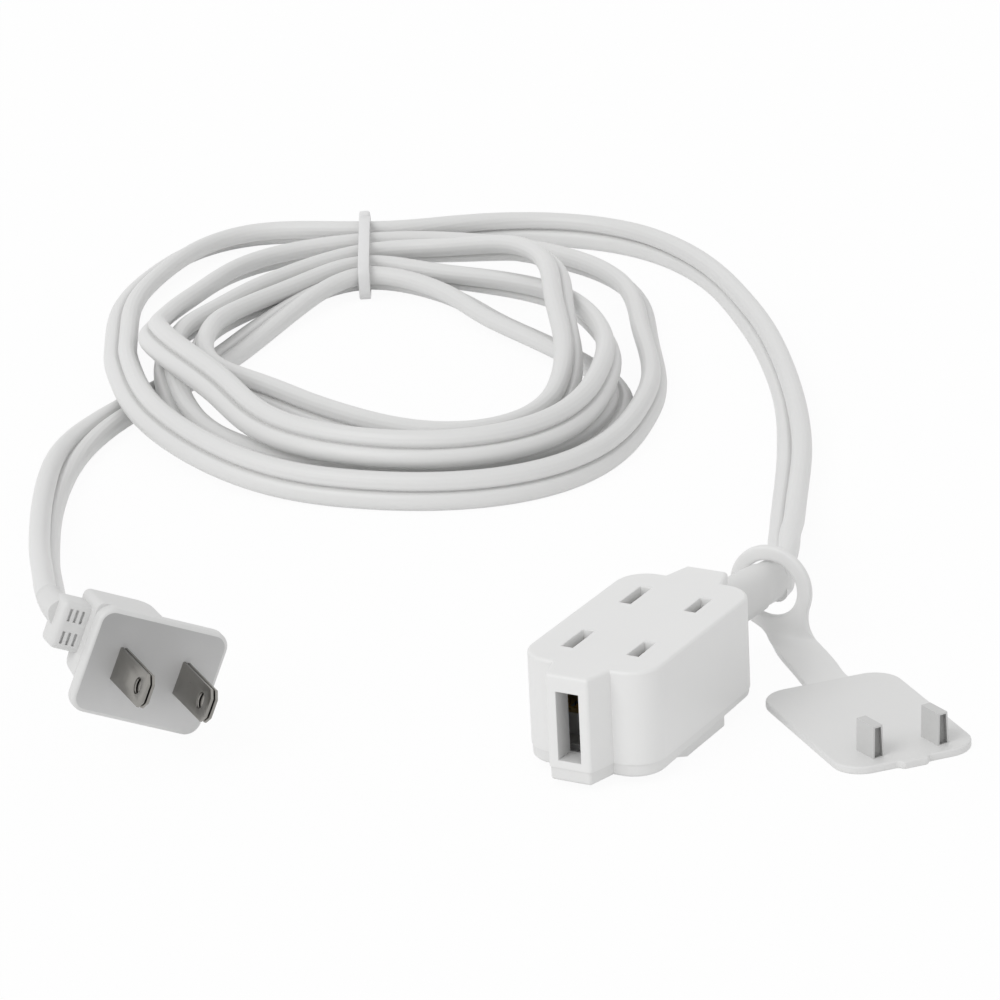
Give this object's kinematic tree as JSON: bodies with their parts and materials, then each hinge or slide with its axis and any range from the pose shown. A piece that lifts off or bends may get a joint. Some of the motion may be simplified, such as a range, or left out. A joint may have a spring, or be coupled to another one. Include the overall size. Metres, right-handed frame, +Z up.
{
  "type": "extension cord",
  "caption": "White two-core indoor extension cord, wound and tied, with an oblong outlet block, a flat side-entry plug and a tethered safety cover",
  "frame": {"origin": "middle of the outlet block's foot, on the floor plane", "axes": "+Z up, +Y along the block towards its cord, -Y towards the nose with the open port, +X to the side where the safety cover lies"},
  "size_m": [0.2854, 0.3037, 0.03],
  "materials": {
    "block_white": "satin",
    "cord_white": "satin",
    "tie_white": "satin",
    "plug_white": "satin",
    "cover_white": "satin",
    "insulator": "matte",
    "contact_brass": "bright",
    "core_copper": null,
    "blade_nickel": "nickel plate, slightly brushed"
  },
  "bodies": {
    "cord_set": {"outlet_shell": "block_white", "outlet_base": "block_white", "contact_carrier": "insulator", "contact_wide": "contact_brass", "contact_narrow": "contact_brass", "crimp_wide": "contact_brass", "crimp_narrow": "contact_brass", "outlet_core_neutral": "core_copper", "outlet_core_line": "core_copper", "outlet_strain_relief": "cord_white", "cord_outlet_run": "cord_white", "cord_coil": "cord_white", "coil_tie": "tie_white", "cord_plug_run": "cord_white", "plug_body": "plug_white", "plug_bridge": "insulator", "blade_neutral": "blade_nickel", "blade_line": "blade_nickel", "plug_core_neutral": "core_copper", "plug_core_line": "core_copper"},
    "strap": {"cover_strap": "cover_white"},
    "cap": {"cover_cap": "cover_white"}
  },
  "joints": [
    {"name": "cover_swivel", "type": "hinge", "parent": "cord_set", "child": "strap", "pos_m": [0.0032, 0.0458, 0.012], "axis": [0, -1, 0], "range_deg": [0, 100]},
    {"name": "cover_flex", "type": "hinge", "parent": "strap", "child": "cap", "pos_m": [0.02115, 0.03093, 0.0015], "axis": [-0.6428, -0.766, 0], "range_deg": [0, 70]}
  ]
}
